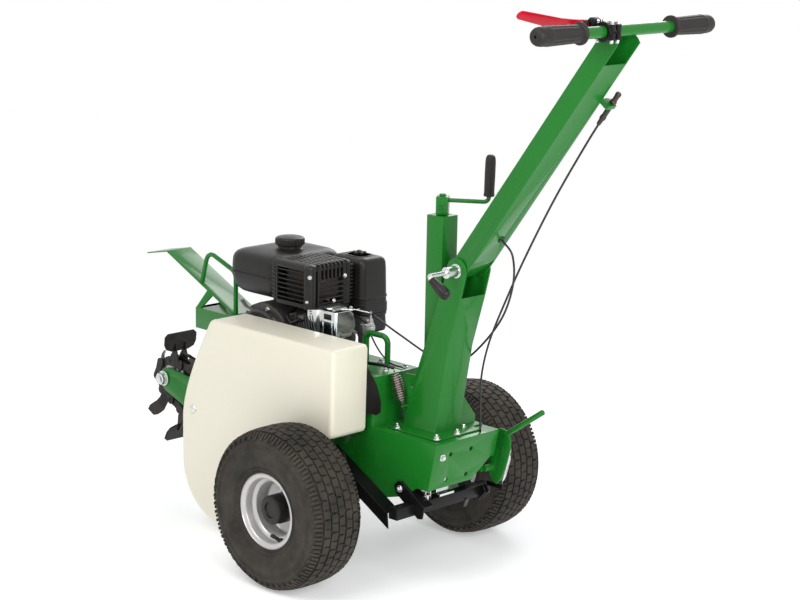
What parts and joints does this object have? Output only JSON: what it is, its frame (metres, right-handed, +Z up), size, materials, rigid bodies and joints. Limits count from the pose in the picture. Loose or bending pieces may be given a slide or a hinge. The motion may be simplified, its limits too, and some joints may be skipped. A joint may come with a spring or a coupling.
{
  "type": "walk-behind chain trencher",
  "caption": "Walk-behind chain trencher: petrol engine over a folded frame, guarded belt drive, digging boom with cutter chain, jacked two-wheel carriage and tilting T handle.",
  "frame": {"origin": "on the ground under the middle of the machine's length and width", "axes": "+X to the operator's left, +Y to the rear where the handlebar is, +Z up"},
  "size_m": [0.7614, 1.611, 1.3659],
  "materials": {
    "green_paint": "gloss",
    "black_paint": "satin",
    "cream_paint": "satin",
    "tyre_rubber": "matte",
    "grip_rubber": "matte",
    "silver_paint": "satin",
    "black_plastic": "satin",
    "red_paint": "satin",
    "zinc_plate": "satin",
    "cast_aluminium": "rough",
    "steel": "satin",
    "chain_steel": "satin",
    "belt_rubber": "matte",
    "cable_black": "satin"
  },
  "bodies": {
    "frame": {"chassis_frame": "green_paint", "front_bracket": "green_paint", "spoil_deflector": "green_paint", "handle_column": "green_paint", "jack_tube": "green_paint", "belt_guard": "cream_paint", "guard_backplate": "black_paint", "crankcase": "cast_aluminium", "cylinder_barrel": "cast_aluminium", "rocker_cover": "cast_aluminium", "head_shield": "zinc_plate", "muffler": "steel", "muffler_guard": "black_plastic", "fan_cover": "black_plastic", "fuel_tank": "black_plastic", "air_cleaner_base": "black_plastic", "air_cleaner_cover": "black_plastic", "carburettor": "cast_aluminium", "cable_hoop": "green_paint", "drive_belt": "belt_rubber", "final_belt": "belt_rubber", "bearing_left": "cast_aluminium", "bearing_right": "cast_aluminium", "boom_bar": "green_paint", "digging_chain": "chain_steel", "clutch_spring": "zinc_plate", "lock_spring": "zinc_plate", "clutch_cable": "cable_black", "throttle_cable": "cable_black"},
    "crank": {"crank_arm": "green_paint"},
    "crank_handle": {"crank_grip": "grip_rubber"},
    "leg": {"jack_leg": "zinc_plate"},
    "carriage": {"wheel_carriage": "black_paint"},
    "wheel_left": {"tyre_left": "tyre_rubber", "rim_left": "silver_paint", "hub_left": "black_plastic"},
    "wheel_right": {"tyre_right": "tyre_rubber", "rim_right": "silver_paint", "hub_right": "black_plastic"},
    "engine_shaft": {"engine_pulley": "steel"},
    "jackshaft_line": {"jackshaft": "steel"},
    "drive_line": {"drive_shaft": "steel", "driven_pulley": "cast_aluminium"},
    "nose": {"nose_roller": "steel"},
    "idler": {"idler_arm": "black_paint"},
    "idler_wheel": {"idler_pulley": "steel"},
    "handle": {"handle_arm": "green_paint", "handlebar": "green_paint", "grip_left": "grip_rubber", "grip_right": "grip_rubber", "lever_clamp": "black_paint"},
    "clutch_hand_lever": {"clutch_lever": "red_paint"},
    "clamp": {"clamp_lever": "zinc_plate", "clamp_knob": "black_plastic"},
    "lock": {"lock_lever": "green_paint"},
    "cap": {"fuel_cap": "black_plastic"},
    "recoil": {"recoil_grip": "black_plastic"},
    "throttle": {"throttle_lever": "steel"}
  },
  "joints": [
    {"name": "crank_turn", "type": "hinge", "parent": "frame", "child": "crank", "pos_m": [0, 0.27246, 0.862], "axis": [0, 0, 1], "range_deg": [0, 2520]},
    {"name": "crank_handle_spin", "type": "hinge", "parent": "crank", "child": "crank_handle", "pos_m": [-0.06037, 0.35868, 0.909], "axis": [-0.0115, 0.0164, 0.9998], "continuous": true},
    {"name": "jack_slide", "type": "slide", "parent": "frame", "child": "leg", "axis": [0, 0, -1], "range_m": [0, 0.0845]},
    {"name": "carriage_pitch", "type": "hinge", "parent": "frame", "child": "carriage", "pos_m": [0, -0.02154, 0.255], "axis": [-1, 0, 0], "range_deg": [0, 16.81], "deforming": ["lock_spring"]},
    {"name": "wheel_left_spin", "type": "hinge", "parent": "carriage", "child": "wheel_left", "pos_m": [0.3057, 0.08846, 0.1905], "axis": [1, 0, 0], "continuous": true},
    {"name": "wheel_right_spin", "type": "hinge", "parent": "carriage", "child": "wheel_right", "pos_m": [-0.3057, 0.08846, 0.1905], "axis": [1, 0, 0], "continuous": true},
    {"name": "engine_spin", "type": "hinge", "parent": "frame", "child": "engine_shaft", "pos_m": [0, -0.24654, 0.492], "axis": [1, 0, 0], "continuous": true},
    {"name": "jackshaft_spin", "type": "hinge", "parent": "frame", "child": "jackshaft_line", "pos_m": [0, 0.01346, 0.455], "axis": [1, 0, 0], "continuous": true},
    {"name": "drive_spin", "type": "hinge", "parent": "frame", "child": "drive_line", "pos_m": [0, -0.25154, 0.185], "axis": [1, 0, 0], "continuous": true, "deforming": ["digging_chain"]},
    {"name": "nose_spin", "type": "hinge", "parent": "frame", "child": "nose", "pos_m": [0, -0.70115, 0.29128], "axis": [1, 0, 0], "continuous": true},
    {"name": "idler_swing", "type": "hinge", "parent": "frame", "child": "idler", "pos_m": [0, -0.07654, 0.335], "axis": [1, 0, 0], "range_deg": [0, 8.1], "deforming": ["clutch_spring", "drive_belt"]},
    {"name": "idler_spin", "type": "hinge", "parent": "idler", "child": "idler_wheel", "pos_m": [0.188, -0.12654, 0.45], "axis": [1, 0, 0], "continuous": true},
    {"name": "handle_pitch", "type": "hinge", "parent": "frame", "child": "handle", "pos_m": [0, 0.35846, 0.75], "axis": [1, 0, 0], "range_deg": [-35, 12], "deforming": ["clutch_cable", "throttle_cable"]},
    {"name": "clutch_pull", "type": "hinge", "parent": "handle", "child": "clutch_hand_lever", "pos_m": [0.095, 0.74346, 1.324], "axis": [0, 0.617, 0.787], "range_deg": [0, 10], "stiffness_Nm_per_rad": 2, "springref_deg": -5.73},
    {"name": "clamp_turn", "type": "hinge", "parent": "frame", "child": "clamp", "pos_m": [0, 0.35846, 0.75], "axis": [1, 0, 0], "range_deg": [0, 110]},
    {"name": "lock_swing", "type": "hinge", "parent": "frame", "child": "lock", "pos_m": [-0.132, 0.32746, 0.251], "axis": [1, 0, 0], "range_deg": [0, 25], "stiffness_Nm_per_rad": 6, "springref_deg": -17.19},
    {"name": "cap_turn", "type": "hinge", "parent": "frame", "child": "cap", "pos_m": [-0.03, -0.27454, 0.715], "axis": [0, 0, 1], "range_deg": [0, 90]},
    {"name": "recoil_pull", "type": "slide", "parent": "frame", "child": "recoil", "axis": [0, -1, 0], "range_m": [0, 0.45], "stiffness_N_per_m": 20, "springref_m": -0.1},
    {"name": "throttle_swing", "type": "hinge", "parent": "frame", "child": "throttle", "pos_m": [-0.046, -0.00154, 0.54], "axis": [0, 1, 0], "range_deg": [-25, 0], "stiffness_Nm_per_rad": 0.05, "springref_deg": 5.73}
  ],
  "couplings": [
    {"joint": "jack_slide", "follows": "crank_turn", "m_per_rad": 0.0019099},
    {"joint": "carriage_pitch", "follows": "crank_turn", "ratio": 0.0066315},
    {"joint": "jackshaft_spin", "follows": "engine_spin", "ratio": 0.43558},
    {"joint": "drive_spin", "follows": "engine_spin", "ratio": 0.25},
    {"joint": "nose_spin", "follows": "engine_spin", "ratio": 0.57143},
    {"joint": "idler_swing", "follows": "clutch_pull", "ratio": 0.8}
  ]
}
